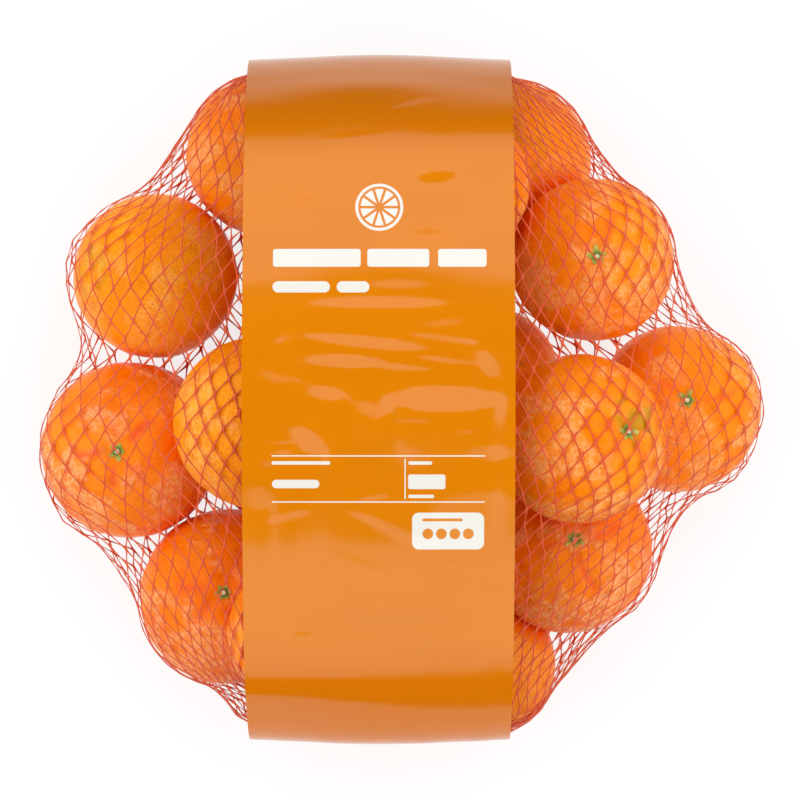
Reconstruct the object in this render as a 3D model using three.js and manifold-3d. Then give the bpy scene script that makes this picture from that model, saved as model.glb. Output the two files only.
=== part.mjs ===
// A net of mandarins lying on its back, shown side up: soft knitted netting drawn tight over two
// layers of fruit, with its ends gathered under a wide film band that runs round the middle. The
// netting and the fruit in it are one solid, which sinks between the fruit as they show through.
// Millimetres. +X runs across the pack, +Y along the band and +Z up from the surface it lies on.
import * as THREE from "three";
import { mergeVertices } from "three/addons/utils/BufferGeometryUtils.js";
import Module from "manifold-3d";

const wasm = await Module();
wasm.setup();

// The fruit
const squash = 0.84; // height of a mandarin over its width
const nesting = 0.94; // loose peel gives, so two fruits sit this much closer than their widths
const bedGap = 1.3; // netting under the lowest fruits

// Name, place from above and radius of each mandarin, the lowest ones first
const mandarins = [
  ["L", 31.3, -101.0, 27.3],
  ["F", 40.8, 90.7, 31.4],
  ["C", -104.2, -19.1, 33.6],
  ["I", 105.4, -3.4, 31.8],
  ["M", 32.9, 8.1, 27.7],
  ["B", -51.5, 93.5, 31.0],
  ["A", -94.4, 47.5, 31.4],
  ["E", -67.1, -75.3, 33.3],
  ["N", -24.0, 38.0, 30.4],
  ["O", -20.0, -29.5, 30.0],
  ["K", 62.6, -56.3, 32.3],
  ["P", 6.0, -64.0, 28.0],
  ["H", 70.9, 52.3, 30.4],
  ["G", 18.9, 79.7, 27.9],
  ["D", -52.9, -8.2, 32.0],
  ["Q", 0.5, -5.0, 30.0],
  ["R", -38.0, -86.0, 26.5],
  ["J", 65.4, -14.3, 31.2],
];

const middle = 44; // height of the pack's middle

// The netting's two ends are gathered into tufts, folded under the band: place and half sizes
const tufts = [
  { place: [-9, 114, 50], half: [56, 14, 26] },
  { place: [-6, -114, 46], half: [58, 14, 24] },
];

// Netting and fruit, as one closed outline
const netSkin = 1.3; // netting over the fruit
const netFacets = 19; // each triangle of the icosahedron is split this many times
const netSpread = [138, 126, 52]; // half sizes that its points are spread out by
const netRounds = 80; // how far it is drawn in between the fruits
const sinkRounds = 34; // and then its open meshes show the hollows between them
const sinkStep = 1.2;
const sinkTension = 0.8; // how far a point moves to the mean of its neighbours
const sinkDeepest = 19; // below the taut yarns, towards what shows through them
const sinkMargin = 10; // from the film's edge to where it sinks freely
const netFlat = 0.8; // nearer than this to the surface below, it lies flat on it

// Film band
const bandMiddle = -8.5; // its centre line across the pack
const bandWidth = 97;
const bandWall = 0.8; // the film with the doubled netting under it
const bandClearance = 1.9; // from the fruit to the film's outer face
const barrel = { place: [-9, 0, 48], half: [300, 128, 56.5] }; // the arch that the tight film keeps
const bandDraw = 0.043; // share by which its edges are drawn in round the pack's two ends
const bandSteps = 84; // round the pack
const bandBays = 10; // across the film
const bandSpread = [130, 52]; // half length and half height that its points are spread out by
const bandRounds = 60; // how far it gives towards the fruits
const bandEasing = 3; // the same again once its edges are drawn in
const bandStiffness = 4; // film hardly dips across its width, against 1 along it
const gap = 0.35; // between the netting and the film

const netColour = 0xd9582a;
const bandColour = 0xec8a14;

// Each fruit drops to the surface, or into the hollow between the fruits already there
function settle(rows) {
  const laid = [];
  for (const [, x, y, radius] of rows) {
    let z = radius * squash + bedGap;
    for (const other of laid) {
      const reach = nesting * (radius + other.half[0]);
      const apart = Math.hypot(x - other.place[0], y - other.place[1]);
      if (apart < reach) z = Math.max(z, other.place[2] + squash * Math.sqrt(reach ** 2 - apart ** 2));
    }
    laid.push({ place: [x, y, z], half: [radius, radius, radius * squash] });
  }
  return laid;
}

// How far the lumps, cut off at the two ends of a stretch of X, reach from the middle in each
// direction
function reaches(directions, lumps, skin, stretch) {
  return directions.map((direction) => {
    let furthest = 0;
    for (const { place, half } of lumps) {
      const cut = Math.min(Math.max(place[0], stretch[0]), stretch[1]) - place[0];
      const left = 1 - (cut / (half[0] + skin)) ** 2;
      if (left <= 0) continue;
      const centre = [place[0] + cut, place[1], place[2] - middle];
      const size = half.map((h) => (h + skin) * Math.sqrt(left));
      const along = centre.reduce((sum, c, k) => sum + c * direction[k], 0);
      furthest = Math.max(furthest, along + Math.hypot(...size.map((h, k) => h * direction[k])));
    }
    return furthest;
  });
}

// Where a ray from the middle leaves the tight wrapping that the reaches give
function wrapped(ray, directions, reach) {
  let exit = Infinity;
  directions.forEach((direction, i) => {
    const along = ray.reduce((sum, r, k) => sum + r * direction[k], 0);
    if (along > 1e-6) exit = Math.min(exit, reach[i] / along);
  });
  return [exit * ray[0], exit * ray[1], middle + exit * ray[2]];
}

// Moves a point that is inside a lump out to its skin, and up to the surface the pack lies on
function pushOut(points, i, lumps, skin) {
  for (const { place, half } of lumps) {
    const away = [0, 1, 2].map((k) => points[3 * i + k] - place[k]);
    const depth = Math.hypot(...away.map((a, k) => a / (half[k] + skin)));
    if (depth >= 1 || depth === 0) continue;
    for (let k = 0; k < 3; k++) points[3 * i + k] = place[k] + away[k] / depth;
  }
  points[3 * i + 2] = Math.max(points[3 * i + 2], 0);
}

// Draws a skin tight: each point moves half way to the mean of its neighbours, and stays outside
// the lumps. neighbours[i] is a list of [index, weight]; fixed is an axis that keeps its value.
function drawTight(points, neighbours, lumps, skin, rounds, fixed = -1) {
  for (let round = 0; round < rounds; round++) {
    const before = Float64Array.from(points);
    neighbours.forEach((list, i) => {
      const total = list.reduce((sum, [, weight]) => sum + weight, 0);
      for (let k = 0; k < 3; k++) {
        if (k === fixed) continue;
        const mean = list.reduce((sum, [j, weight]) => sum + weight * before[3 * j + k], 0) / total;
        points[3 * i + k] = (mean + before[3 * i + k]) / 2;
      }
      const held = fixed < 0 ? 0 : points[3 * i + fixed];
      pushOut(points, i, lumps, skin);
      if (fixed >= 0) points[3 * i + fixed] = held;
    });
  }
  return points;
}

function normalsOf(points, index) {
  const geometry = geometryOf(points, index);
  geometry.computeVertexNormals();
  return geometry.getAttribute("normal").array;
}

// Sinks a drawn skin into the hollows between the lumps, as deep as its own tightness allows.
// The film keeps it out of those that it covers.
function sinkBetween(points, index, neighbours, lumps, skin) {
  const taut = Float64Array.from(points);
  for (let round = 0; round < sinkRounds; round++) {
    const normals = normalsOf(points, index);
    const before = Float64Array.from(points);
    neighbours.forEach((list, i) => {
      const beside = Math.abs(points[3 * i] - bandMiddle) - bandWidth / 2;
      const share = Math.min(Math.max(beside / sinkMargin, 0), 1);
      for (let k = 0; k < 3; k++) {
        const mean = list.reduce((sum, [j]) => sum + before[3 * j + k], 0) / list.length;
        const drawn = sinkTension * (mean - before[3 * i + k]);
        points[3 * i + k] += share * (drawn - sinkStep * normals[3 * i + k]);
      }
      const sunk = [0, 1, 2].map((k) => points[3 * i + k] - taut[3 * i + k]);
      const within = Math.min(1, sinkDeepest / Math.hypot(...sunk));
      for (let k = 0; k < 3; k++) points[3 * i + k] = taut[3 * i + k] + within * sunk[k];
      pushOut(points, i, lumps, skin);
    });
  }
}

function neighboursOf(index, count) {
  const sets = Array.from({ length: count }, () => new Set());
  for (let t = 0; t < index.length; t += 3)
    for (let k = 0; k < 3; k++) sets[index[t + k]].add(index[t + ((k + 1) % 3)]);
  return sets.map((set) => [...set].map((j) => [j, 1]));
}

function geometryOf(points, index) {
  const geometry = new THREE.BufferGeometry();
  geometry.setAttribute("position", new THREE.BufferAttribute(Float32Array.from(points), 3));
  geometry.setIndex(index);
  return geometry;
}

// The whole net out to its uneven outline
function netOutline(lumps) {
  const ball = new THREE.IcosahedronGeometry(1, netFacets);
  ball.deleteAttribute("normal");
  ball.deleteAttribute("uv");
  const round = mergeVertices(ball, 1e-5);
  const index = [...round.index.array];
  const points = Float64Array.from(round.getAttribute("position").array);
  const directions = [[0, 0, -1]];
  for (let i = 0; i < points.length; i += 3) directions.push([...points.subarray(i, i + 3)]);
  const reach = reaches(directions, lumps, netSkin, [-Infinity, Infinity]);
  for (let i = 0; i < points.length; i += 3) {
    const ray = netSpread.map((size, k) => size * points[i + k]);
    points.set(wrapped(ray, directions, reach), i);
  }
  const neighbours = neighboursOf(index, points.length / 3);
  drawTight(points, neighbours, lumps, netSkin, netRounds);
  sinkBetween(points, index, neighbours, lumps, netSkin);
  for (let i = 2; i < points.length; i += 3) if (points[i] < netFlat) points[i] = 0;
  return geometryOf(points, index);
}

// The band's outer face: rows round the pack in the YZ plane, each at its own place across it
function bandFace(lumps) {
  const rows = bandBays + 1;
  const points = new Float64Array(3 * rows * bandSteps);
  const at = (row, step) => row * bandSteps + ((step + bandSteps) % bandSteps);
  const neighbours = [];
  const stretch = [bandMiddle - bandWidth / 2, bandMiddle + bandWidth / 2];
  const directions = Array.from({ length: 360 }, (_, degree) => {
    const turn = (Math.PI * degree) / 180;
    return [0, Math.cos(turn), Math.sin(turn)];
  });
  const reach = reaches(directions, [...lumps, barrel], bandClearance, stretch);
  for (let row = 0; row < rows; row++)
    for (let step = 0; step < bandSteps; step++) {
      const turn = (2 * Math.PI * step) / bandSteps;
      const across = (2 * row) / bandBays - 1;
      const ray = [0, bandSpread[0] * Math.cos(turn), bandSpread[1] * Math.sin(turn)];
      const [, y, z] = wrapped(ray, directions, reach);
      const x = bandMiddle + (across * bandWidth) / 2;
      points.set([x, y, z], 3 * at(row, step));
      const list = [[at(row, step - 1), 1], [at(row, step + 1), 1]];
      if (row > 0) list.push([at(row - 1, step), bandStiffness]);
      if (row < bandBays) list.push([at(row + 1, step), bandStiffness]);
      neighbours.push(list);
    }
  drawTight(points, neighbours, [...lumps, barrel], bandClearance, bandRounds, 0);
  for (let i = 0; i < points.length; i += 3) {
    const across = (2 * (points[i] - bandMiddle)) / bandWidth;
    points[i + 1] *= 1 - bandDraw * across ** 4;
  }
  return drawTight(points, neighbours, lumps, bandClearance, bandEasing, 0);
}

// A sleeve between the band's face moved out by one distance and moved in by another
function sleeve(face, outwards, inwards, wider) {
  const rows = bandBays + 1;
  const count = rows * bandSteps;
  const points = new Float64Array(6 * count);
  const at = (row, step) => row * bandSteps + ((step + bandSteps) % bandSteps);
  for (let row = 0; row < rows; row++)
    for (let step = 0; step < bandSteps; step++) {
      const i = at(row, step);
      const back = at(row, step - 1);
      const on = at(row, step + 1);
      const along = [face[3 * on + 1] - face[3 * back + 1], face[3 * on + 2] - face[3 * back + 2]];
      const length = Math.hypot(...along);
      const normal = [along[1] / length, -along[0] / length];
      const x = face[3 * i] + (row === 0 ? -wider : 0) + (row === bandBays ? wider : 0);
      const y = face[3 * i + 1];
      const z = face[3 * i + 2];
      points.set([x, y + normal[0] * outwards, z + normal[1] * outwards], 3 * i);
      points.set([x, y - normal[0] * inwards, z - normal[1] * inwards], 3 * (count + i));
    }
  const index = [];
  const quad = (a, b, c, d) => index.push(a, b, c, a, c, d);
  for (let step = 0; step < bandSteps; step++) {
    for (let row = 0; row < bandBays; row++) {
      const [a, b] = [at(row, step), at(row, step + 1)];
      const [c, d] = [at(row + 1, step + 1), at(row + 1, step)];
      quad(a, b, c, d);
      quad(count + d, count + c, count + b, count + a);
    }
    const [a, b] = [at(0, step), at(0, step + 1)];
    const [c, d] = [at(bandBays, step), at(bandBays, step + 1)];
    quad(b, a, count + a, count + b);
    quad(c, d, count + d, count + c);
  }
  return geometryOf(points, index);
}

function solidOf(geometry) {
  const vertProperties = geometry.getAttribute("position").array;
  const triVerts = new Uint32Array(geometry.index.array);
  return new wasm.Manifold(new wasm.Mesh({ numProp: 3, vertProperties, triVerts }));
}

function geometryOfSolid(solid) {
  const { vertProperties, triVerts } = solid.getMesh();
  return geometryOf(vertProperties, [...triVerts]);
}

function named(name, geometry, colour, roughness) {
  const material = new THREE.MeshStandardMaterial({ color: colour, roughness, metalness: 0 });
  const mesh = new THREE.Mesh(geometry, material);
  mesh.name = name;
  return mesh;
}

const lumps = [...settle(mandarins), ...tufts];
const face = bandFace(lumps);
const roomForBand = solidOf(sleeve(face, 25, bandWall + gap, gap));
const netting = solidOf(netOutline(lumps)).subtract(roomForBand);

const group = new THREE.Group();
group.add(named("net", geometryOfSolid(netting), netColour, 0.45));
group.add(named("band", sleeve(face, 0, bandWall, 0), bandColour, 0.3));

export default group;
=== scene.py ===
# A net of mandarins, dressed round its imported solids: the fruit, the knitted netting and the film band.
# Everything is in metres, in the frame of the solids: +Z up, +Y along the band.
import math

import bmesh
import bpy
import numpy as np
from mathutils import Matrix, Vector, noise
from mathutils.bvhtree import BVHTree


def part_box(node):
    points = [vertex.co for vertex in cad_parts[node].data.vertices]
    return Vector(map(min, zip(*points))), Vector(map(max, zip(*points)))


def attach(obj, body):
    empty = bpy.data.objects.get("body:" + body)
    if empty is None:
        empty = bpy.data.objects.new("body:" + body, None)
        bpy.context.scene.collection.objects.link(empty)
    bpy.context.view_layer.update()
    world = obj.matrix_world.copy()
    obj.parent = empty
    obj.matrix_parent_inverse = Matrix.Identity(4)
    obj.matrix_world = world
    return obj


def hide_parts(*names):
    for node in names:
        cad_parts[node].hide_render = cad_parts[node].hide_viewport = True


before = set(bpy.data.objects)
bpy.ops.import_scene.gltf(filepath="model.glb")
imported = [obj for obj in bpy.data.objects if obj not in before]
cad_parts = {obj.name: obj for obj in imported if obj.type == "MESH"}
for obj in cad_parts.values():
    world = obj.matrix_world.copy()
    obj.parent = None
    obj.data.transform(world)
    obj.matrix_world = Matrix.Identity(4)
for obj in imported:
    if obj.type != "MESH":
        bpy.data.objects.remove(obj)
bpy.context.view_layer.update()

mm = 0.001
scene = bpy.context.scene
print("frame loaded", list(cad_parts))


# Shader maths: a socket that Python expressions can work with
class Value:
    def __init__(self, tree, socket):
        self.tree = tree
        self.socket = socket

    def math(self, operation, *others):
        node = self.tree.nodes.new("ShaderNodeMath")
        node.operation = operation
        for place, value in zip(node.inputs, (self, *others)):
            if isinstance(value, Value):
                self.tree.links.new(value.socket, place)
            else:
                place.default_value = value
        return Value(self.tree, node.outputs[0])

    def __add__(self, other): return self.math("ADD", other)
    def __sub__(self, other): return self.math("SUBTRACT", other)
    def __mul__(self, other): return self.math("MULTIPLY", other)
    def __pow__(self, other): return self.math("POWER", other)
    def __neg__(self): return self.math("MULTIPLY", -1)
    def __abs__(self): return self.math("ABSOLUTE")
    def __rsub__(self, other): return (-self).math("ADD", other)
    __radd__ = __add__
    __rmul__ = __mul__

    def atMost(self, other): return self.math("MINIMUM", other)
    def atLeast(self, other): return self.math("MAXIMUM", other)

    def eased(self, low, high):
        # 0 below low and 1 above high, with a smooth step between
        node = self.tree.nodes.new("ShaderNodeMapRange")
        node.interpolation_type = "SMOOTHSTEP"
        self.tree.links.new(self.socket, node.inputs["Value"])
        node.inputs["From Min"].default_value = low
        node.inputs["From Max"].default_value = high
        return Value(self.tree, node.outputs["Result"])


# A material or world that is being put together
class Finish:
    def __init__(self, owner):
        owner.use_nodes = True
        self.owner = owner
        self.tree = owner.node_tree
        self.tree.nodes.clear()

    def node(self, kind, settings=None, sockets=None, out=0):
        node = self.tree.nodes.new("ShaderNode" + kind)
        for name, value in (settings or {}).items():
            if name == "stops":
                self.setStops(node.color_ramp, value)
            else:
                setattr(node, name, value)
        for name, value in (sockets or {}).items():
            socket = node.inputs[name]
            if isinstance(value, Value):
                self.tree.links.new(value.socket, socket)
            else:
                socket.default_value = value
        return Value(self.tree, node.outputs[out]) if len(node.outputs) else node

    def setStops(self, ramp, stops):
        while len(ramp.elements) < len(stops):
            ramp.elements.new(0.5)
        for element, (position, colour) in zip(ramp.elements, stops):
            element.position = position
            element.color = colour

    def coordinates(self, scale=(1, 1, 1)):
        place = self.node("TexCoord", out="Object")
        return self.node("Mapping", None, {"Vector": place, "Scale": scale})

    def split(self, vector):
        node = self.tree.nodes.new("ShaderNodeSeparateXYZ")
        self.tree.links.new(vector.socket, node.inputs[0])
        return [Value(self.tree, output) for output in node.outputs]

    def noise(self, place, size, detail=3):
        # about 0.3 to 0.7, with lumps of that size
        return self.node("TexNoise", None, {"Vector": place, "Scale": 1 / size, "Detail": detail,
                                            "Roughness": 0.55})

    def mix(self, share, first, second):
        # numbered sockets: the factor is 0, and the two colours are 6 and 7
        return self.node("Mix", {"data_type": "RGBA"}, {0: share, 6: first, 7: second}, out=2)

    def attribute(self, name):
        return self.node("Attribute", {"attribute_name": name}, out="Fac")

    def close(self, surface, kind="Material"):
        self.node("Output" + kind, None, {"Surface": surface})
        return self.owner


def paint(red, green, blue):
    # a colour as it is seen, 0 to 255, in the linear values that shaders take
    linear = [(c / 12.92 if c <= 0.04045 else ((c + 0.055) / 1.055) ** 2.4) for c in
              (red / 255, green / 255, blue / 255)]
    return (*linear, 1)


def newMaterial(name):
    return Finish(bpy.data.materials.new(name))


def ease(low, high, value):
    t = np.clip((value - low) / (high - low), 0, 1)
    return t * t * (3 - 2 * t)


def unit(vectors):
    return vectors / np.linalg.norm(vectors, axis=-1, keepdims=True)


def noiseAt(places, scale, seed):
    shift = Vector((seed, 0.37 * seed, -1.9 * seed))
    return np.array([noise.noise(Vector(p) * scale + shift) for p in places])


def pointsOf(mesh):
    points = np.empty(len(mesh.vertices) * 3)
    mesh.vertices.foreach_get("co", points)
    return points.reshape(-1, 3)


def setAttribute(mesh, name, values):
    layer = mesh.attributes.new(name, "FLOAT", "POINT")
    layer.data.foreach_set("value", np.asarray(values, dtype=np.float32))


def meshOf(bm, name):
    mesh = bpy.data.meshes.new(name)
    bm.to_mesh(mesh)
    bm.free()
    return mesh


def addPiece(mesh, name, material, node):
    piece = bpy.data.objects.new(name, mesh)
    scene.collection.objects.link(piece)
    mesh.materials.clear()
    mesh.materials.append(material)
    mesh.shade_smooth()
    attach(piece, "root")
    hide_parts(node)


def surfaceOf(node):
    # a search tree over a solid's faces, with its loose triangles merged
    bm = bmesh.new()
    bm.from_mesh(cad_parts[node].data)
    bmesh.ops.remove_doubles(bm, verts=bm.verts, dist=0.01 * mm)
    tree = BVHTree.FromBMesh(bm)
    bm.free()
    return tree


# The camera looks straight down on the pack
shot = {
    "height": 1.068,        # of the lens above the floor
    "side": -0.0009,
    "lens": 122.2,          # on a 36 mm sensor
    "floorSize": 6.0,
    "floorPaint": 0.2,
    "floorGlow": 0.79,      # a lit table, so that the gaps between the fruit stay pale
}

# Brightness of the studio by direction: it is lightest overhead, with a dark opening round the camera
# and a dark wall at both ends of the film
studio = {
    "horizon": 1.73,
    "overhead": 2.21,
    "lean": 0.03,           # of the heights below towards -Y
    "wall": (0.20, 0.29, 0.46, 0.53),
    "wallWide": (0.35, 0.6),
    "wallDown": (0.3, 0.5),  # how far towards -Y the wall comes down to the floor
    "opening": (0.375, 0.408),
    "openingShift": 0.025,
    "dark": 0.025,
    "glowHeights": (0.45, 0.7),
    "strip": 0.7,           # the low light beyond the film's upper end
    "stripHeights": (0.14, 0.28),
    "stripSide": (0.3, 0.7),
}


def makeCamera():
    data = bpy.data.cameras.new("camera")
    data.lens = shot["lens"]
    data.sensor_width = 36
    camera = bpy.data.objects.new("camera", data)
    camera.location = (shot["side"], 0, shot["height"])
    scene.collection.objects.link(camera)
    scene.camera = camera
    scene.view_settings.view_transform = "Standard"


def makeStudio():
    bm = bmesh.new()
    bmesh.ops.create_grid(bm, x_segments=1, y_segments=1, size=shot["floorSize"] / 2)
    floor = bpy.data.objects.new("floor", meshOf(bm, "floor"))
    scene.collection.objects.link(floor)
    finish = newMaterial("floor_white")
    grey = shot["floorPaint"]
    floor.data.materials.append(finish.close(finish.node("BsdfPrincipled", None, {
        "Base Color": (grey, grey, grey, 1), "Roughness": 0.9, "Specular IOR Level": 0.0,
        "Emission Color": (1, 1, 1, 1), "Emission Strength": shot["floorGlow"]})))

    world = bpy.data.worlds.new("studio")
    scene.world = world
    finish = Finish(world)
    x, y, z = finish.split(finish.node("TexCoord", out="Generated"))
    height = z - y * studio["lean"]
    low, lowFull, highFull, high = studio["wall"]
    rising = (height.eased(low, lowFull) + (-y).eased(*studio["wallDown"])).atMost(1)
    wall = rising * (1 - height.eased(highFull, high)) * (1 - abs(x).eased(*studio["wallWide"]))
    dy = y + studio["openingShift"]
    opening = (1 - ((x * x + dy * dy) ** 0.5).eased(*studio["opening"])) * z.eased(0, 0.1)
    more = studio["overhead"] - studio["horizon"]
    glow = more * height.eased(*studio["glowHeights"]) + studio["horizon"]
    light = glow * (1 - wall.atLeast(opening) * (1 - studio["dark"]))
    strip = z.eased(0, 0.12) * (1 - height.eased(*studio["stripHeights"]))
    strip = strip * y.eased(*studio["stripSide"]) * studio["strip"]
    finish.close(finish.node("Background", None, {"Strength": light + strip}), "World")


makeCamera()
makeStudio()
print("camera and studio made")


# The fruit, as they lie in the solids
pile = {
    "squash": 0.84,         # height of a mandarin over its width
    "nesting": 0.94,        # how close two fruits settle, over the sum of their radii
    "bedGap": 1.3 * mm,
    "subdivisions": 6,
    "contactGap": 0.06 * mm,
    "contactEasing": 0.35 * mm,
    "contactReach": 2 * mm,  # fruits further apart than this leave each other round
    "shadeReach": 9 * mm,   # how near another fruit the peel is painted deep red shade, for the light that turns red between them
    "floorGap": 0.5 * mm,
    "highest": 0.55 * mm,   # that a lump of peel stands proud
}

# Kinds of peel: colours as seen, and how strong pores, painted pale glints, green and relief are
peels = {
    "orange": {"deep": (255, 128, 0), "light": (255, 146, 18), "glint": (255, 186, 116),
               "pores": 0.45, "glintStrength": 0.75, "relief": 0.7},
    "red": {"deep": (255, 120, 0), "light": (255, 142, 24), "glint": (255, 182, 122),
            "pores": 0.25, "glintStrength": 0.9, "relief": 1.0},
    "yellow": {"deep": (255, 145, 0), "light": (255, 163, 26), "glint": (255, 196, 110),
               "pores": 0.6, "glintStrength": 0.45, "relief": 0.35},
    "brown": {"deep": (254, 132, 0), "light": (255, 152, 20), "glint": (254, 182, 98),
              "pores": 0.6, "glintStrength": 0.4, "relief": 0.4},
}

# What every peel has, whatever its kind: colours as seen, and sizes
skin = {
    # painted shade: deep red where fruits lie close
    "between": (250, 88, 0),
    "furrow": (250, 92, 46),
    "green": (176, 140, 6),
    "pit": (234, 104, 0),
    "stem": (240, 130, 12),
    "scar": (110, 64, 20),
    "broadSize": 24 * mm,   # of the clouds of deep and light colour
    "fineSize": 3.2 * mm,
    "pebbleSize": 2.9 * mm,
    "pebbleHigh": 0.9 * mm,
    "roughSize": 11 * mm,   # of the patches of rough peel
    "thickSize": 8 * mm,    # of the patches where pits stand close
    "pitSize": 0.98 * mm,
    "scarSize": 0.9 * mm,
}

# Name, place from above and radius in millimetres, the end that faces up and its place over the
# radius, the kind of peel, and the green patches: place over the radius, reach and strength
mandarins = [
    ("L", 31.3, -101.0, 27.3, "blossom", (-0.50, 0.10), "brown", []),
    ("F", 40.8, 90.7, 31.4, "stem", (-0.70, 0.20), "brown", [(-0.1, 0.1, 0.6, 0.5)]),
    ("C", -104.2, -19.1, 33.6, "stem", (-0.062, 0.0), "red", []),
    ("I", 105.4, -3.4, 31.8, "stem", (0.03, 0.108), "orange", []),
    ("M", 32.9, 8.1, 27.7, "blossom", (0.43, 0.21), "brown", []),
    ("B", -51.5, 93.5, 31.0, "stem", (0.55, 0.30), "orange", []),
    ("A", -94.4, 47.5, 31.4, "blossom", (-0.06, 0.08), "yellow", [(-0.75, 0.0, 0.5, 0.45)]),
    ("E", -67.1, -75.3, 33.3, "stem", (0.016, 0.108), "red", []),
    ("N", -24.0, 38.0, 30.4, "stem", (0.30, 0.20), "orange", []),
    ("O", -20.0, -29.5, 30.0, "blossom", (0.20, -0.30), "red", []),
    ("K", 62.6, -56.3, 32.3, "stem", (0.044, 0.146), "red", []),
    ("P", 6.0, -64.0, 28.0, "stem", (-0.40, 0.30), "orange", []),
    ("H", 70.9, 52.3, 30.4, "stem", (0.0, 0.0), "orange", []),
    ("G", 18.9, 79.7, 27.9, "blossom", (-0.35, 0.10), "orange", []),
    ("D", -52.9, -8.2, 32.0, "blossom", (-0.465, 0.08), "yellow", []),
    ("Q", 0.5, -5.0, 30.0, "stem", (0.10, -0.40), "orange", []),
    ("R", -38.0, -86.0, 26.5, "blossom", (0.20, 0.10), "orange", []),
    ("J", 65.4, -14.3, 31.2, "stem", (0.52, 0.10), "orange", [(0.60, 0.24, 0.40, 1.0)]),
]

# Turn in degrees, reach and depth of the furrows that stand out on one of the fruits
markedFurrows = {
    "C": [(38, 0.66, 1.2), (95, 0.46, 0.8), (180, 0.66, 1.1), (255, 0.56, 1.1), (308, 0.60, 0.8)],
}


def wayOf(dx, dy):
    # direction from a fruit's middle to the point seen at that place from above
    return np.array([dx, dy, math.sqrt(max(0.0, 1 - dx * dx - dy * dy))])


def settle(rows):
    laid = []
    for count, (name, x, y, radius, end, at, peel, green) in enumerate(rows):
        radius *= mm
        place = np.array([x * mm, y * mm, radius * pile["squash"] + pile["bedGap"]])
        for other in laid:
            reach = pile["nesting"] * (radius + other["radius"])
            apart = math.hypot(*(place - other["place"])[:2])
            if apart < reach:
                rise = pile["squash"] * math.sqrt(reach ** 2 - apart ** 2)
                place[2] = max(place[2], other["place"][2] + rise)
        axis = wayOf(*at) * (1 if end == "stem" else -1)
        east = unit(np.cross([0.0, 1.0, 0.1], axis))
        laid.append({"name": name, "place": place, "radius": radius, "axis": axis, "east": east,
                     "north": np.cross(axis, east), "seed": 3.7 * count + 1.3, "green": green,
                     **peels[peel]})
    return laid


def furrowsOf(fruit):
    # turn, reach and depth of the furrows that run out from the stem
    if fruit["name"] in markedFurrows:
        return [(math.radians(turn), reach, depth) for turn, reach, depth in markedFurrows[fruit["name"]]]
    draw = np.random.default_rng(int(fruit["seed"] * 10))
    count = int(draw.integers(5, 8))
    return [(2 * math.pi * (k + draw.uniform(-0.3, 0.3)) / count, draw.uniform(0.45, 0.8),
             draw.uniform(0.4, 1.0)) for k in range(count)]


def peelShape(fruit, ways):
    # height of the peel over the plain fruit and depth of its furrows, for directions from its middle
    seed = fruit["seed"]
    fromStem = np.arccos(np.clip(ways @ fruit["axis"], -1, 1))
    turn = np.arctan2(ways @ fruit["north"], ways @ fruit["east"])
    round_ = np.sin(fromStem)
    furrow = np.zeros(len(ways))
    for angle, reach, depth in furrowsOf(fruit):
        off = np.angle(np.exp(1j * (turn - angle + 0.12 * np.sin(6 * fromStem + seed))))
        across = np.where(np.abs(off) < 1.5, np.sin(off) * round_, 1)
        along = ease(0.12, 0.24, fromStem) * (1 - ease(reach - 0.25, reach, fromStem))
        furrow = np.maximum(furrow, depth * np.exp(-(across / 0.045) ** 2) * along)
    relief = fruit["relief"]
    height = 0.5 * noiseAt(ways, 1.5, seed) - 0.1 * np.abs(np.cos(5 * turn + seed)) * round_ ** 2
    height += relief * (0.5 * noiseAt(ways, 4.5, seed + 5) + 0.28 * noiseAt(ways, 10, seed + 9))
    height += relief * 0.12 * noiseAt(ways, 19, seed + 14)
    collar = 0.55 + 0.45 * np.cos(5 * turn + seed)
    height += (0.25 + 0.5 * relief) * collar * np.exp(-((fromStem - 0.30) / 0.10) ** 2)
    height -= 0.9 * relief * furrow
    height -= 1.5 * np.exp(-(fromStem / 0.14) ** 2) + 0.5 * np.exp(-((math.pi - fromStem) / 0.12) ** 2)
    return np.minimum(height * mm, pile["highest"]), furrow


def onFruit(fruit, ways, height):
    size = np.array([1, 1, pile["squash"]])
    outwards = unit(ways / size)
    return fruit["place"] + ways * size * fruit["radius"] + outwards * height[:, None]


def pressContacts(fruit, points, fruits):
    # where two fruits touch, both are pressed flat
    stretch = np.array([1, 1, 1 / pile["squash"]])
    spread = (points - fruit["place"]) * stretch
    for other in fruits:
        if other is fruit:
            continue
        away = (other["place"] - fruit["place"]) * stretch
        apart = np.linalg.norm(away)
        if apart > fruit["radius"] + other["radius"] + pile["contactReach"]:
            continue
        away /= apart
        limit = (apart ** 2 + fruit["radius"] ** 2 - other["radius"] ** 2) / (2 * apart)
        over = (spread @ away - limit + pile["contactGap"]) / pile["contactEasing"]
        pushed = pile["contactEasing"] * np.logaddexp(0, np.minimum(over, 60))
        spread -= pushed[:, None] * away * (over > -6)[:, None]
    return fruit["place"] + spread / stretch


def shadeBetweenOf(fruit, points, fruits):
    # 1 where another fruit lies against it: painted deep red shade, for the light that turns red between
    #                                        them
    close = np.zeros(len(points))
    for other in fruits:
        if other is not fruit:
            away = (points - other["place"]) / np.array([1, 1, pile["squash"]])
            gap = np.linalg.norm(away, axis=1) - other["radius"]
            close = np.maximum(close, 1 - ease(0, pile["shadeReach"], gap))
    return close


def greenOf(fruit, ways):
    # blotchy green where a fruit ripened last
    green = np.zeros(len(ways))
    for dx, dy, reach, strength in fruit["green"]:
        off = np.arccos(np.clip(ways @ wayOf(dx, dy), -1, 1)) / reach
        blotch = ease(-0.25, 0.35, noiseAt(ways, 7, fruit["seed"] + 31) + 0.4 * (0.7 - off))
        green = np.maximum(green, strength * (1 - ease(0.5, 1.1, off)) * blotch)
    return green


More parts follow.
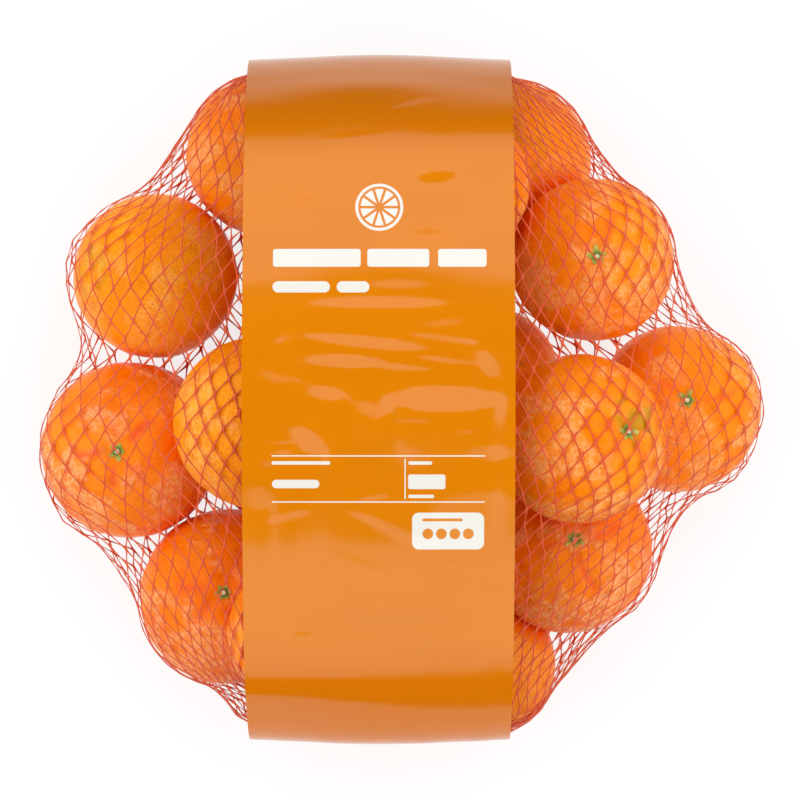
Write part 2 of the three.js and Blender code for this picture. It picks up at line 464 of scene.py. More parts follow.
def peelFinish(fruit):
    finish = newMaterial("peel_" + fruit["name"])
    place = finish.coordinates()
    deep, light, glint = (paint(*fruit[kind]) for kind in ("deep", "light", "glint"))
    broad = finish.noise(place, skin["broadSize"], 2).eased(0.36, 0.64)
    fine = finish.noise(place, skin["fineSize"], 4)
    colour = finish.mix(broad * 0.75 + fine.eased(0.35, 0.65) * 0.25, deep, light)
    # pebbly skin: painted highlights, pale glints on crests that wander, where the peel is rough
    pebble = finish.noise(place, skin["pebbleSize"], 4)
    crest = (1 - abs(pebble - 0.54) * 10).atLeast(0)
    patches = (finish.noise(place, skin["roughSize"], 2) - 0.5) * 2.4
    rough = (finish.attribute("rough") + patches).eased(0.28, 0.72)
    colour = finish.mix((crest * 0.8 + 0.2) * rough * fruit["glintStrength"], colour, glint)
    # painted shade: the peel turns deep red where another fruit lies close
    colour = finish.mix(finish.attribute("close") * 0.85, colour, paint(*skin["between"]))
    furrow = finish.attribute("furrow")
    colour = finish.mix((furrow * 0.8 * fruit["relief"]).atMost(0.9), colour, paint(*skin["furrow"]))
    colour = finish.mix(finish.attribute("green") * 0.8, colour, paint(*skin["green"]))
    cells = finish.node("TexVoronoi", None, {"Vector": place, "Scale": 1 / skin["pitSize"],
                                             "Randomness": 0.9})
    pit = 1 - cells.eased(0.2, 0.46)
    thick = finish.noise(place, skin["thickSize"], 2).eased(0.36, 0.6) * 0.7 + 0.3
    colour = finish.mix(pit * thick * fruit["pores"], colour, paint(*skin["pit"]))
    colour = finish.mix(finish.attribute("stem") * 0.2, colour, paint(*skin["stem"]))
    colour = finish.mix(finish.attribute("scar"), colour, paint(*skin["scar"]))
    height = pebble * (0.3 + 1.2 * fruit["relief"]) * (rough * 0.8 + 0.2) - pit * 0.1
    bump = finish.node("Bump", None, {"Height": height, "Distance": skin["pebbleHigh"],
                                        "Strength": 1.0})
    gloss = 0.21 + pit * 0.1 + fine * 0.1
    return finish.close(finish.node("BsdfPrincipled", None, {
        "Base Color": colour, "Roughness": gloss, "Normal": bump, "IOR": 1.4, "Specular IOR Level": 0.13,
        "Subsurface Weight": 0.06, "Subsurface Radius": (1.0, 0.4, 0.1), "Subsurface Scale": 2.0 * mm}))


def makeMandarin(fruit, fruits):
    bm = bmesh.new()
    bmesh.ops.create_icosphere(bm, subdivisions=pile["subdivisions"], radius=1)
    mesh = meshOf(bm, "mandarin_" + fruit["name"])
    ways = unit(pointsOf(mesh))
    height, furrow = peelShape(fruit, ways)
    points = pressContacts(fruit, onFruit(fruit, ways, height), fruits)
    points[:, 2] = np.maximum(points[:, 2], pile["floorGap"])
    mesh.vertices.foreach_set("co", points.ravel())
    fromStem = np.arccos(np.clip(ways @ fruit["axis"], -1, 1))
    setAttribute(mesh, "furrow", furrow)
    setAttribute(mesh, "stem", np.exp(-(fromStem / 0.28) ** 2))
    fromScar = (math.pi - fromStem) * fruit["radius"]
    setAttribute(mesh, "scar", 0.6 * np.exp(-(fromScar / skin["scarSize"]) ** 2))
    setAttribute(mesh, "green", greenOf(fruit, ways))
    setAttribute(mesh, "close", shadeBetweenOf(fruit, points, fruits))
    # rough patches, which also hold the painted glints, more of them towards -Y, where the light catches
    # the peel
    setAttribute(mesh, "rough", 0.42 + 0.7 * noiseAt(ways, 2.2, fruit["seed"] + 40) - 0.28 * ways[:, 1])
    addPiece(mesh, "mandarin_" + fruit["name"], peelFinish(fruit), "net")


# The dry calyx with the stub of the stalk
calyx = {
    "reach": 4.0 * mm,      # of a lobe from the middle
    "waist": 0.56,          # of the hollow between two lobes, over that reach
    "thick": 0.36 * mm,
    "stubWide": 1.0 * mm,
    "stubHigh": 0.85 * mm,
    "ringWide": 1.5 * mm,
    "ringHigh": 0.6 * mm,
    "raised": 0.25 * mm,    # over the peel
    "rim": 0.1 * mm,
    # colours as seen, by the place from the middle to the tip of a lobe
    "paint": [(0.0, (232, 230, 204)), (0.2, (212, 214, 160)), (0.31, (84, 98, 28)),
              (0.44, (126, 140, 40)), (0.62, (162, 170, 58)), (1.0, (204, 184, 92))],
}


def calyxFinish():
    finish = newMaterial("calyx")
    place = finish.coordinates()
    out = finish.attribute("out") + (finish.noise(place, 0.7 * mm) - 0.5) * 0.25
    stops = [(position, paint(*shade)) for position, shade in calyx["paint"]]
    colour = finish.node("ValToRGB", {"stops": stops}, {0: out})
    bump = finish.node("Bump", None, {"Height": finish.noise(place, 0.5 * mm), "Distance": 0.15 * mm})
    return finish.close(finish.node("BsdfPrincipled", None, {
        "Base Color": colour, "Roughness": 0.62, "Normal": bump}))


def makeCalyx(fruit, material):
    bm = bmesh.new()
    draw = np.random.default_rng(int(fruit["seed"] * 10) + 7)
    lobes = int(draw.integers(5, 7))
    lean = draw.uniform(0, 2 * math.pi)
    uneven = draw.uniform(0.68, 1.15, lobes)
    leaf = bmesh.ops.create_uvsphere(bm, u_segments=10 * lobes, v_segments=12, radius=1)["verts"]
    for vert in leaf:
        turn = math.atan2(vert.co.y, vert.co.x)
        lobe = 0.5 + 0.5 * math.cos(lobes * turn)
        which = int(round(turn * lobes / (2 * math.pi))) % lobes
        reach = calyx["waist"] + (uneven[which] - calyx["waist"]) * lobe ** 1.2
        flat = math.hypot(vert.co.x, vert.co.y)
        curl = 0.5 * calyx["thick"] * lobe * flat ** 3
        vert.co = Vector((vert.co.x * reach * calyx["reach"], vert.co.y * reach * calyx["reach"],
                          vert.co.z * calyx["thick"] * (1 - 0.45 * flat) + curl))
    low = bmesh.ops.create_cone(bm, cap_ends=True, segments=20, radius1=calyx["ringWide"] * 1.15,
                                radius2=calyx["ringWide"] * 0.85, depth=calyx["ringHigh"])["verts"]
    bmesh.ops.translate(bm, vec=(0, 0, calyx["raised"]), verts=low)
    stub = bmesh.ops.create_cone(bm, cap_ends=True, segments=16, radius1=calyx["stubWide"] * 1.1,
                                 radius2=calyx["stubWide"] * 0.8, depth=calyx["stubHigh"])["verts"]
    bmesh.ops.translate(bm, vec=(0, 0, 0.55 * calyx["stubHigh"]), verts=stub)
    rounded = set(low + stub)
    rims = [edge for edge in bm.edges
            if edge.calc_length() < calyx["ringHigh"] and rounded.issuperset(edge.verts)]
    bmesh.ops.bevel(bm, geom=rims, offset=calyx["rim"], affect="EDGES", segments=2, profile=0.5,
                    material=-1)
    mesh = meshOf(bm, "calyx_" + fruit["name"])
    flat = pointsOf(mesh)
    turned = np.exp(1j * lean) * (flat[:, 0] + 1j * flat[:, 1])
    aside = np.outer(turned.real, fruit["east"]) + np.outer(turned.imag, fruit["north"])
    ways = unit(fruit["axis"] + aside / fruit["radius"])
    height, _ = peelShape(fruit, ways)
    points = onFruit(fruit, ways, height + flat[:, 2] + calyx["raised"])
    mesh.vertices.foreach_set("co", points.ravel())
    setAttribute(mesh, "out", np.hypot(flat[:, 0], flat[:, 1]) / calyx["reach"])
    addPiece(mesh, "calyx_" + fruit["name"], material, "net")


fruits = settle(mandarins)
calyxMaterial = calyxFinish()
for fruit in fruits:
    makeMandarin(fruit, fruits)
    makeCalyx(fruit, calyxMaterial)
print("mandarins made", len(fruits))


# The film band, which the netting reaches in under
film = {
    "around": 760,
    "across": 48,
    "middle": 48 * mm,      # height that the outline is measured from
    "spread": (90, 60),     # how its points are spread round the pack
    "wall": 0.14 * mm,
    "smoothing": 12,        # steps round the pack
    "relax": 36,            # steps over which a crease is taken back
    "above": 0.2 * mm,      # how far it stands over the solid band
    "inset": 0.2 * mm,      # from its edges, where its height is taken
    "outside": 0.3,         # farther from the middle than any of it
    "stiff": 20 * mm,       # how far it evens out across itself, towards both ends of the pack
    "stiffFrom": (60 * mm, 84 * mm),
    "stiffAbove": (36 * mm, 50 * mm),
    "level": 0.9 * mm,      # how far its corners are turned to lie level with each other
    "levelAbove": (50 * mm, 70 * mm),
    "leftAcross": (-10 * mm, 45 * mm),
    "leftAlong": (45 * mm, 85 * mm),
    "leftEnd": (85 * mm, 112 * mm),
    "rightAcross": (0, 45 * mm),
    "rightAlong": (84 * mm, 112 * mm),
    "creasedAbove": (50, 60),  # heights in millimetres between which the creases begin
    "raisedAbove": (45, 60),
    "streak": 0.05,         # height in millimetres of its small and its broad unevenness
    "broad": 0.14,
    "paint": [(208, 118, 0), (212, 121, 1)],
    # painted shade: both ends of the film darker, where they turn down away from the light
    "endShade": (204, 110, 0),
    "endShadeFrom": (84 * mm, 106 * mm),
    "upperShade": (176, 95, 2),  # painted shade: the end towards +Y is deeper, then pale with a painted reflection
    "upperShadeFrom": (80 * mm, 120 * mm),
    # painted reflection: the very end towards +Y paler, as the bright studio shows in it
    "paleReflection": (182, 118, 74),
    "paleReflectionFrom": (112 * mm, 123 * mm),
}


# The netting: a knitted tube drawn tight over the fruit, with its ends gathered under the band
netting = {
    "around": 84,           # meshes round the tube
    "rows": 55,             # rows of joints from end to end
    "middle": (0, 0, 44 * mm),
    "size": (138 * mm, 128 * mm, 52 * mm),  # half the pack, which the rays are spread by
    "planes": 2400,         # that it is wrapped with at first
    # the gathered ends, folded under the film: places and half sizes in millimetres
    "tufts": [((-9, 114, 50), (56, 14, 26)), ((-6, -114, 46), (58, 14, 24))],
    "fine": (120, 80),      # points of the skin that is drawn tight first: round it and along it
    "rounds": 260,          # how far it is drawn in between the fruit
    "girth": 3.0,           # its pull round the tube, over its pull along it
    "loose": 2.6 * mm,      # how far it stands off at its loosest
    "looseFrom": (60 * mm, 110 * mm),
    "loosePatch": 42 * mm,
    "clear": 0.95 * mm,     # from the plain fruit
    "spread": (0.5, 0.8),   # width of a mesh over the mean: at the middle, and what the sides add
    "wander": (0.16, 0.14),  # unevenness of the meshes, over a mesh
    "seed": 3,              # of that unevenness
    "joint": 0.6 * mm,      # half the stretch where two yarns lie side by side
    "beside": 0.21 * mm,
    "yarn": 0.215 * mm,     # radius, before it is pressed flat
    "nearJoint": 0.31 * mm,
    "jointYarn": 0.43 * mm,
    "flat": 0.6,
    "wide": 1.15,
    "under": 12 * mm,       # how far it reaches in under the band
    "tucked": 14 * mm,      # how far from the film it is held below it
    "below": 0.25 * mm,
    "inset": 0.3 * mm,      # from the film's edge, where its height is taken
    "climb": 0.7,           # how steeply it rises from under the film's edge
    "sides": 6,
    "paint": [(200, 64, 24), (222, 94, 40)],
}


def lumpsOf():
    # places and half sizes of all that the netting is drawn over
    size = np.array([1, 1, pile["squash"]])
    lumps = [(fruit["place"], fruit["radius"] * size) for fruit in fruits]
    return lumps + [(np.array(place) * mm, np.array(half) * mm) for place, half in netting["tufts"]]


def liftOut(points, lumps, clear):
    # out of every lump, and up to the floor
    for place, half in lumps:
        away = points - place
        depth = np.linalg.norm(away / (half + clear), axis=-1, keepdims=True)
        inside = (depth < 1) & (depth > 0)
        points = np.where(inside, place + away / np.where(inside, depth, 1), points)
    lowest = netting["yarn"] * netting["flat"]
    points[..., 2] = np.maximum(points[..., 2], lowest)
    return points


def wrapRound(ways, lumps):
    # where rays from the middle leave a tight wrapping of the lumps
    count = netting["planes"]
    k = np.arange(count) + 0.5
    rise, turn = 1 - 2 * k / count, math.pi * (1 + 5 ** 0.5) * k
    flat = np.sqrt(1 - rise ** 2)
    facing = np.stack([flat * np.cos(turn), flat * np.sin(turn), rise], axis=1)
    middle = np.array(netting["middle"])
    reach = np.max([facing @ (place - middle) + np.linalg.norm(facing * (half + netting["clear"]), axis=1)
                    for place, half in lumps], axis=0)
    exits = []
    for way in ways:
        share = facing @ way
        exits.append(np.min(reach[share > 0.05] / share[share > 0.05]))
    return middle + ways * np.array(exits)[:, None]


def spaced(line, count, weights=None):
    # that many points along a line of points, evenly or by weight
    steps = np.linalg.norm(np.diff(line, axis=0), axis=1)
    if weights is not None:
        steps = steps * (weights[1:] + weights[:-1]) / 2
    travel = np.concatenate([[0], np.cumsum(steps)])
    places = np.linspace(0, travel[-1], count)
    return np.stack([np.interp(places, travel, line[:, k]) for k in range(3)], axis=1)


def drawNetting():
    # the skin, as a grid of points: along the tube, then round it
    lumps = lumpsOf()
    around, along = netting["fine"]
    rise = math.pi * (np.arange(along + 1) / along - 0.5)[:, None] * 0.97
    turn = 2 * math.pi * np.arange(around)[None, :] / around
    ways = [np.cos(rise) * np.cos(turn), np.sin(rise) + 0 * turn, np.cos(rise) * np.sin(turn)]
    ways = unit(np.stack(ways, axis=-1) * netting["size"]).reshape(-1, 3)
    skin = wrapRound(ways, lumps).reshape(along + 1, around, 3)
    for _ in range(netting["rounds"]):
        aside = (np.roll(skin, 1, axis=1) + np.roll(skin, -1, axis=1))[1:-1] * netting["girth"]
        mean = (skin[:-2] + skin[2:] + aside) / (2 + 2 * netting["girth"])
        skin[1:-1] = (skin[1:-1] + mean) / 2
        skin = liftOut(skin, lumps, netting["clear"])
    lines = [spaced(skin[:, column], 4 * netting["rows"] + 1) for column in range(around)]
    skin = np.stack(lines, axis=1)
    rings = []
    middle, sides = netting["spread"]
    for ring in skin:
        ring = np.concatenate([ring, ring[:1]])
        wide = middle + sides * np.abs(ring[:, 0]) / netting["size"][0]
        rings.append(spaced(ring, 4 * netting["around"] + 1, 1 / wide))
    return np.array(rings), lumps


def layJoints(skin, lumps):
    # joints lie on the skin, a little unevenly, and every second row is half a mesh on
    rows, around = netting["rows"] + 1, netting["around"]
    spot = np.zeros((rows, around, 3))
    asideBy, alongBy = netting["wander"]
    noise.seed_set(netting["seed"])
    for row in range(rows):
        for column in range(around):
            mesh = Vector((column * 0.55, row * 0.55, 0.3))
            shift = noise.noise_vector(mesh) * 1.6 + noise.noise_vector(mesh * 0.2) * 1.5
            u = min(max(row + alongBy * shift.x, 0), rows - 1.01) * 4
            v = (column + 0.5 * (row % 2) + asideBy * shift.y) % around * 4
            low, left = int(u), int(v)
            du, dv = u - low, v - left
            near = skin[low, left] * (1 - dv) + skin[low, left + 1] * dv
            far = skin[low + 1, left] * (1 - dv) + skin[low + 1, left + 1] * dv
            spot[row, column] = near * (1 - du) + far * du
    spot = liftOut(spot, lumps, netting["clear"])
    patches = noiseAt(spot.reshape(-1, 3), 1 / netting["loosePatch"], 5.2)
    slack = ease(-0.1, 0.45, patches).reshape(rows, around, 1)
    slack = slack * ease(*netting["looseFrom"], np.abs(spot[..., :1]))
    return spot + directionsOf(spot)[2] * slack * netting["loose"]


def directionsOf(spot):
    # along the tube, across it and out of it, at each joint
    rows, around = spot.shape[:2]
    column = np.arange(around)
    along = np.zeros_like(spot)
    for row in range(rows):
        shift = -1 if row % 2 == 0 else 1
        for step in (-1, 1):
            other = row + step
            if 0 <= other < rows:
                near = (spot[other, column] + spot[other, (column + shift) % around]) / 2
                along[row] += step * (near - spot[row])
    along = unit(along + 1e-9)
    across = unit(np.roll(spot, -1, axis=1) - np.roll(spot, 1, axis=1) + 1e-9)
    outwards = np.cross(along, across)
    facing = np.sum(outwards * (spot - np.array(netting["middle"])), axis=-1, keepdims=True)
    outwards = unit(outwards * np.where(facing < 0, -1, 1))
    across = unit(across - np.sum(across * along, axis=-1, keepdims=True) * along)
    return along, across, outwards


def tuckUnder(points, tree, edges):
    # near the film, the netting stays below it
    for k, point in enumerate(points):
        outside = max(edges[0] - point[0], point[0] - edges[1], 0)
        if outside > netting["tucked"]:
            continue
        probe = min(max(point[0], edges[0] + netting["inset"]), edges[1] - netting["inset"])
        middle = Vector((probe, 0, film["middle"]))
        away = Vector((0, point[1], point[2] - film["middle"]))
        hit = tree.ray_cast(middle, away.normalized())[0]
        limit = (hit - middle).length - netting["below"] + netting["climb"] * outside
        if away.length > limit:
            points[k, 1:] = [away.y * limit / away.length, away.z * limit / away.length + film["middle"]]
    points[:, 2] = np.maximum(points[:, 2], netting["yarn"] * netting["flat"])


def yarnPath(spot, directions, column, leaning, lumps):
    # one yarn zigzags between two neighbouring columns of joints, and lies beside another at each
    along, across, outwards = directions
    points, radii, normals = [], [], []
    for row in range(len(spot)):
        even = row % 2 == 0
        which = column if even or leaning > 0 else (column - 1) % netting["around"]
        side = leaning if even else -leaning
        joint = spot[row, which] + across[row, which] * side * netting["beside"]
        for end in (-1, 1):
            points.append(joint + along[row, which] * end * netting["joint"])
            radii.append(netting["jointYarn"])
            normals.append(outwards[row, which])
    full, thick, facing = [points[0]], [radii[0]], [normals[0]]
    for k in range(1, len(points)):
        if k % 2 == 0:
            for share, radius in ((0.2, "nearJoint"), (0.5, "yarn"), (0.8, "nearJoint")):
                full.append(points[k - 1] * (1 - share) + points[k] * share)
                thick.append(netting[radius])
                facing.append(normals[k - 1] * (1 - share) + normals[k] * share)
        full.append(points[k])
        thick.append(radii[k])
        facing.append(normals[k])
    return liftOut(np.array(full), lumps, netting["clear"]), np.array(thick), unit(np.array(facing))


def nettingFinish():
    finish = newMaterial("netting")
    place = finish.coordinates()
    colour = finish.mix(finish.noise(place, 9 * mm), *[paint(*shade) for shade in netting["paint"]])
    fibres = finish.noise(finish.coordinates((1, 0.12, 1)), 0.35 * mm, 2)
    bump = finish.node("Bump", None, {"Height": fibres, "Distance": 0.08 * mm, "Strength": 0.6})
    return finish.close(finish.node("BsdfPrincipled", None, {
        "Base Color": colour, "Roughness": 0.45, "Normal": bump, "IOR": 1.4}))


def makeNetting():
    skin, lumps = drawNetting()
    spot = layJoints(skin, lumps)
    print("netting laid")
    directions = directionsOf(spot)
    low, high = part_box("band")
    material = nettingFinish()
    yarns = [yarnPath(spot, directions, column, leaning, lumps) for column in range(netting["around"])
             for leaning in (1, -1)]
    band = surfaceOf("band")
    for points, _, _ in yarns:
        tuckUnder(points, band, (low.x, high.x))
    under = netting["under"]
    limits = {"netting_left": (-1, low.x + under), "netting_right": (high.x - under, 1)}
    for name, (start, end) in limits.items():
        runs = []
        for points, radii, facing in yarns:
            shown = (points[:, 0] > start) & (points[:, 0] < end)
            edges = np.flatnonzero(np.diff(np.concatenate([[0], shown.astype(int), [0]])))
            for first, last in zip(edges[::2], edges[1::2]):
                if last - first >= 3:
                    runs.append((points[first:last], radii[first:last], facing[first:last]))
        curve = bpy.data.curves.new(name, "CURVE")
        curve.dimensions = "3D"
        curve.bevel_depth = 1
        curve.bevel_resolution = (netting["sides"] - 4) // 2
        for points, radii, _ in runs:
            spline = curve.splines.new("POLY")
            spline.points.add(len(points) - 1)
            spline.points.foreach_set("co", np.c_[points, np.ones(len(points))].ravel())
            spline.points.foreach_set("radius", radii)
        tube = bpy.data.objects.new(name + "_path", curve)
        scene.collection.objects.link(tube)
        bpy.context.view_layer.update()
        mesh = bpy.data.meshes.new_from_object(tube.evaluated_get(bpy.context.evaluated_depsgraph_get()))
        bpy.data.objects.remove(tube)
        flattenYarn(mesh, runs)
        mesh.name = name
        addPiece(mesh, name, material, "net")
        print(name, "made,", len(mesh.polygons), "faces")


def flattenYarn(mesh, runs):
    # each ring of the tube is pressed flat against what it lies on
    facing = np.concatenate([run[2] for run in runs])
    rings = pointsOf(mesh).reshape(len(facing), -1, 3)
    centre = rings.mean(axis=1, keepdims=True)
    off = rings - centre
    outwards = np.sum(off * facing[:, None], axis=2, keepdims=True) * facing[:, None]
    rings = centre + (off - outwards) * netting["wide"] + outwards * netting["flat"]
    rings[:, :, 2] = np.maximum(rings[:, :, 2], 0)
    mesh.vertices.foreach_set("co", rings.ravel())
    bm = bmesh.new()
    bm.from_mesh(mesh)
    ends = [edge for edge in bm.edges if edge.is_boundary]
    bmesh.ops.holes_fill(bm, edges=ends, sides=netting["sides"])
    bmesh.ops.recalc_face_normals(bm, faces=bm.faces)
    bm.to_mesh(mesh)
    bm.free()


makeNetting()


# Soft creases in the film, which catch the light or lose it: place from above in millimetres, half
# length, half width, slope, and how many degrees they face towards +Y
creases = [
    (12.3, 79.5, 7.8, 2.4, 0.1, 5), (-34.5, 71.6, 8.5, 1.3, 0, 8.6), (8.7, 59.6, 6.5, 1.6, 0, 8.7),
    (3, 107, 9, 1.1, 0.22, 35), (-16.8, 95.6, 13, 1, 0.12, 29), (-1.6, 40.7, 11, 1.8, 0, 10.4),
    (-8.6, 34.2, 25, 2.5, 0, 11.7), (14, 27, 9, 1.8, 0.1, 10.2), (-12.9, 20.2, 24, 2.7, -0.1, 12),
    (15, 21.4, 15, 1.8, -0.12, 10.7), (30, 12.4, 6.5, 5.5, -0.3, 10.8), (15, 13.8, 12, 1.6, -0.12, 11),
    (-20.4, 13.4, 16, 3, -0.04, 12.2), (-0.9, 11.2, 13, 1.5, -0.06, 12), (15.8, 0, 22, 5.3, 0, 12.5),
    (-26.7, 2.1, 9, 3.1, -0.1, 12.4), (-36.6, 6.4, 5, 1.6, -0.3, 10.9), (-11.9, -3.9, 7, 4, -0.2, 10.9),
    (4, -7.8, 7, 1.2, 0, -12.6), (22.8, -11.5, 4.5, 1.1, 0, -12.4), (-34.2, -14.5, 8, 5, -0.35, -12.9),
    (-43.7, -15.6, 7, 1, 0, -12.2), (-43, -18.9, 6.5, 1.1, 0, -12.4), (-46.2, 7.8, 6, 2.7, -0.3, 10.7),
    (-43, 21, 4, 2, 0.2, 10.3), (31, -19, 10, 3, 0, -11.8), (-51, -35, 6, 5, 0, -11.6),
    (-47.6, -23, 4.5, 2, 0, -11.9), (-10.8, -35.2, 6.5, 1.3, 0.15, -12.7),
    (-40.5, -41.8, 8, 1.7, 0.25, -12.2), (-6.2, -45.7, 13, 2.2, -0.45, -12.7),
    (12.9, -54.9, 5, 1.4, -0.4, -13), (-12.2, -58.8, 24, 1.1, -0.43, -10.5),
    (15.8, -57, 7, 1.1, -0.2, -10.3), (-35.4, -84.2, 5.5, 1.6, 0.1, -8.5), (-34, -89, 8, 1, 0, -13),
    (27, -41, 17, 9, 0, -11.3),
]


def evened(rows, reach):
    # averaged along the film, over that many steps to both sides
    steps = range(-reach, reach + 1)
    weights = [math.exp(-2 * (k / reach) ** 2) for k in steps]
    return sum(weight * np.roll(rows, k, axis=1) for weight, k in zip(weights, steps)) / sum(weights)


def addedSlope(x, y, tilt):
    # what the creases add to the film's own slope, taken back where there is none
    more, less, cover = np.zeros_like(x), np.zeros_like(x), np.zeros_like(x)
    for middleX, middleY, long_, half, lean, facing in creases:
        across = (y - middleY - lean * (x - middleX)) / half
        mask = 1 - ease(0.8, 1.25, np.hypot((x - middleX) / long_, across))
        slope = mask * (facing - tilt)
        more, less, cover = np.maximum(more, slope), np.minimum(less, slope), np.maximum(cover, mask)
    added, free = np.radians(more + less), 1.02 - cover
    return added - free * evened(added, film["relax"]) / evened(free, film["relax"])


def filmOutline():
    # where rays from the middle of the pack leave the solid band, row by row from side to side
    tree = surfaceOf("band")
    low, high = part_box("band")
    around, across = film["around"], film["across"]
    alongY, alongZ = film["spread"]
    face = np.zeros((across + 1, around, 3))
    for row in range(across + 1):
        x = low.x + (high.x - low.x) * row / across
        probe = min(max(x, low.x + film["inset"]), high.x - film["inset"])
        for step in range(around):
            turn = 2 * math.pi * step / around
            way = Vector((0, alongY * math.cos(turn), alongZ * math.sin(turn))).normalized()
            start = Vector((probe, 0, film["middle"])) + way * film["outside"]
            hit = tree.ray_cast(start, -way)[0]
            face[row, step] = (x, hit.y, hit.z)
    smooth = evened(face, film["smoothing"])
    smooth[:, :, 0] = face[:, :, 0]
    return stiffened(smooth)


def stiffened(face):
    # where it spans from the fruit to the gathered ends, the film is even and level from side to side
    x, y, z = face[:, :, 0], face[:, :, 1], face[:, :, 2]
    weights = np.exp(-0.5 * ((x[:, :1] - x[:, 0]) / film["stiff"]) ** 2)
    even = np.tensordot(weights / weights.sum(axis=1, keepdims=True), face, axes=(1, 0))
    even[:, :, 0] = x
    share = ease(*film["stiffFrom"], np.abs(y)) * ease(*film["stiffAbove"], z)
    face = face * (1 - share[:, :, None]) + even * share[:, :, None]
    left = ease(*film["leftAcross"], -x) * ease(*film["leftAlong"], y) * (1 - ease(*film["leftEnd"], y))
    right = ease(*film["rightAcross"], x) * ease(*film["rightAlong"], y)
    face[:, :, 2] += film["level"] * (left + right) * ease(*film["levelAbove"], z)
    return face


def makeFilm():
    face = filmOutline()
    along = np.roll(face, -1, axis=1) - np.roll(face, 1, axis=1)
    outwards = unit(np.stack([np.zeros(along.shape[:2]), along[:, :, 2], -along[:, :, 1]], axis=-1))
    x, y, z = face[:, :, 0] / mm, face[:, :, 1] / mm, face[:, :, 2] / mm
    tilt = np.degrees(np.arctan2(along[:, :, 2], -along[:, :, 1]))
    slope = addedSlope(x, y, tilt) * ease(*film["creasedAbove"], z)
    height = np.cumsum(slope * (np.roll(y, 1, axis=1) - y), axis=1) * ease(*film["raisedAbove"], z)
    flat = face.reshape(-1, 3) / mm
    streaks = noiseAt(flat * np.array([0.018, 0.10, 0.10]), 1, 3.1).reshape(height.shape)
    broad = noiseAt(flat * np.array([0.02, 0.035, 0.035]), 1, 8.6).reshape(height.shape)
    height += film["streak"] * streaks + film["broad"] * broad
    face = face + outwards * (height * mm + film["above"])[:, :, None]
    face[:, :, 2] = np.maximum(face[:, :, 2], 0)

    bm = bmesh.new()
    around, across = film["around"], film["across"]
    bmesh.ops.create_cone(bm, cap_ends=False, segments=around, radius1=1, radius2=1, depth=2)
    lines = [edge for edge in bm.edges if abs(edge.verts[0].co.z - edge.verts[1].co.z) > 1]
    bmesh.ops.subdivide_edges(bm, edges=lines, cuts=across - 1, use_grid_fill=False)
    for vert in bm.verts:
        row = round((vert.co.z + 1) / 2 * across)
        step = round(math.atan2(vert.co.y, vert.co.x) / (2 * math.pi) * around) % around
        vert.co = face[row, step]
    bmesh.ops.recalc_face_normals(bm, faces=bm.faces)
    bmesh.ops.solidify(bm, geom=bm.faces[:], thickness=film["wall"])
    mesh = meshOf(bm, "film_band")
    points = pointsOf(mesh)
    points[:, 2] = np.maximum(points[:, 2], 0)
    mesh.vertices.foreach_set("co", points.ravel())
    addPiece(mesh, "film_band", filmFinish(), "band")
    mesh.set_sharp_from_angle(angle=math.radians(50))


# Print on the film, in millimetres from above: middle, half size and corner radius of each shape
printed = {
    "bars": [
        (-30.5, 50.6, 15.6, 3.2, 1.0), (-1.5, 50.6, 11.0, 3.2, 1.0), (21.3, 50.6, 8.6, 3.2, 1.0),
        (-36.0, 40.2, 10.2, 2.0, 2.0), (-17.6, 40.2, 5.8, 2.0, 2.0),
    ],
    "rules": [
        (-8.6, -19.8, 37.8, 0.22, 0.1), (-8.6, -36.2, 37.8, 0.22, 0.1), (0.9, -28.0, 0.2, 7.2, 0.1),
        (-36.0, -22.3, 10.4, 0.6, 0.6), (-37.9, -29.8, 8.4, 1.5, 1.5), (6.3, -22.3, 4.2, 0.6, 0.6),
        (8.6, -29.0, 6.6, 2.6, 0.8), (6.6, -34.2, 4.6, 0.6, 0.6),
    ],
    "panel": (16.2, -46.6, 12.8, 6.6, 2.4),
    "slice": (-8.3, 68.9, 8.6),
    "white": (222, 220, 212),
    # what is left open in the panel, from its middle
    "dots": [(-7.2, -1.0, 1.9, 1.9, 1.9), (-2.4, -1.0, 1.9, 1.9, 1.9), (2.4, -1.0, 1.9, 1.9, 1.9),
             (7.2, -1.0, 1.9, 1.9, 1.9), (-2.0, 4.0, 7.2, 0.5, 0.5)],
    "open": (212, 128, 30),
    "above": (80 * mm, 82 * mm),
}


def inBar(x, y, shape):
    # 1 inside a rectangle with round corners
    cx, cy, halfX, halfY, corner = (value * mm for value in shape)
    dx = (abs(x - cx) - (halfX - corner)).atLeast(0)
    dy = (abs(y - cy) - (halfY - corner)).atLeast(0)
    away = (dx * dx + dy * dy) ** 0.5
    return 1 - away.eased(corner - 0.05 * mm, corner + 0.07 * mm)


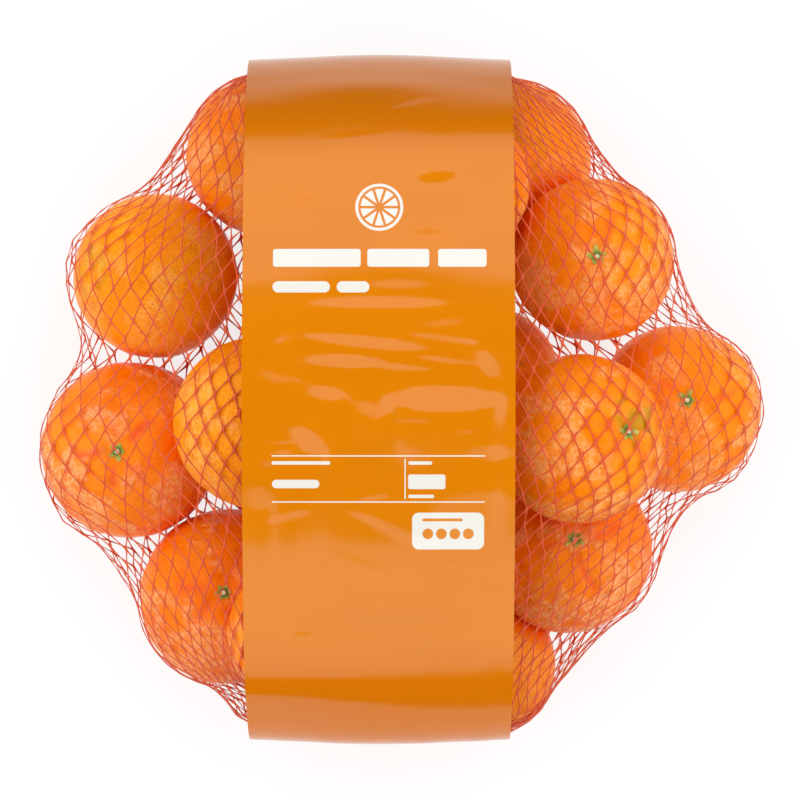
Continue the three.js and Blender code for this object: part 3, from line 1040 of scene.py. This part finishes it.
def inSlice(x, y, shape):
    # a slice of citrus: a rind, then ten segments with gaps between them
    cx, cy, radius = (value * mm for value in shape)
    dx, dy = x - cx, y - cy
    away = (dx * dx + dy * dy) ** 0.5
    rind = away.eased(radius * 0.86, radius * 0.89) * (1 - away.eased(radius * 0.98, radius * 1.01))
    sector = dy.math("ARCTAN2", dx) * (10 / (2 * math.pi))
    edge = abs(sector.math("FRACT") - 0.5) * away * (2 * math.pi / 10)
    segment = edge.math("LESS_THAN", away * (math.pi / 10) - radius * 0.055)
    segment = segment * away.eased(radius * 0.16, radius * 0.19)
    return (rind + segment * (1 - away.eased(radius * 0.76, radius * 0.79))).atMost(1)


def filmFinish():
    finish = newMaterial("film")
    place = finish.coordinates()
    x, y, z = finish.split(place)
    cloudy = finish.noise(finish.coordinates((0.35, 1, 1)), 20 * mm, 2).eased(0.3, 0.7)
    colour = finish.mix(cloudy, *[paint(*shade) for shade in film["paint"]])
    # painted shade: darker towards both ends, and deeper at the +Y end
    colour = finish.mix(abs(y).eased(*film["endShadeFrom"]), colour, paint(*film["endShade"]))
    colour = finish.mix(y.eased(*film["upperShadeFrom"]), colour, paint(*film["upperShade"]))
    # painted reflection: the +Y end turns pale
    colour = finish.mix(y.eased(*film["paleReflectionFrom"]), colour, paint(*film["paleReflection"]))
    upper = z.eased(*printed["above"])
    white = inSlice(x, y, printed["slice"])
    for shape in printed["bars"] + printed["rules"] + [printed["panel"]]:
        white = white.atLeast(inBar(x, y, shape))
    colour = finish.mix(white * upper, colour, paint(*printed["white"]))
    panelX, panelY = printed["panel"][:2]
    marks = [inBar(x, y, (panelX + dx, panelY + dy, *shape)) for dx, dy, *shape in printed["dots"]]
    left = marks[0]
    for mark in marks[1:]:
        left = left.atLeast(mark)
    colour = finish.mix(left * upper, colour, paint(*printed["open"]))
    streaks = finish.noise(finish.coordinates((0.16, 1, 1)), 3.6 * mm, 2)
    bump = finish.node("Bump", None, {"Height": streaks, "Distance": 0.04 * mm, "Strength": 0.3})
    gloss = 0.09 + finish.noise(place, 4 * mm) * 0.06
    return finish.close(finish.node("BsdfPrincipled", None, {
        "Base Color": colour, "Roughness": gloss, "Normal": bump, "IOR": 1.43}))


makeFilm()
print("film band made")
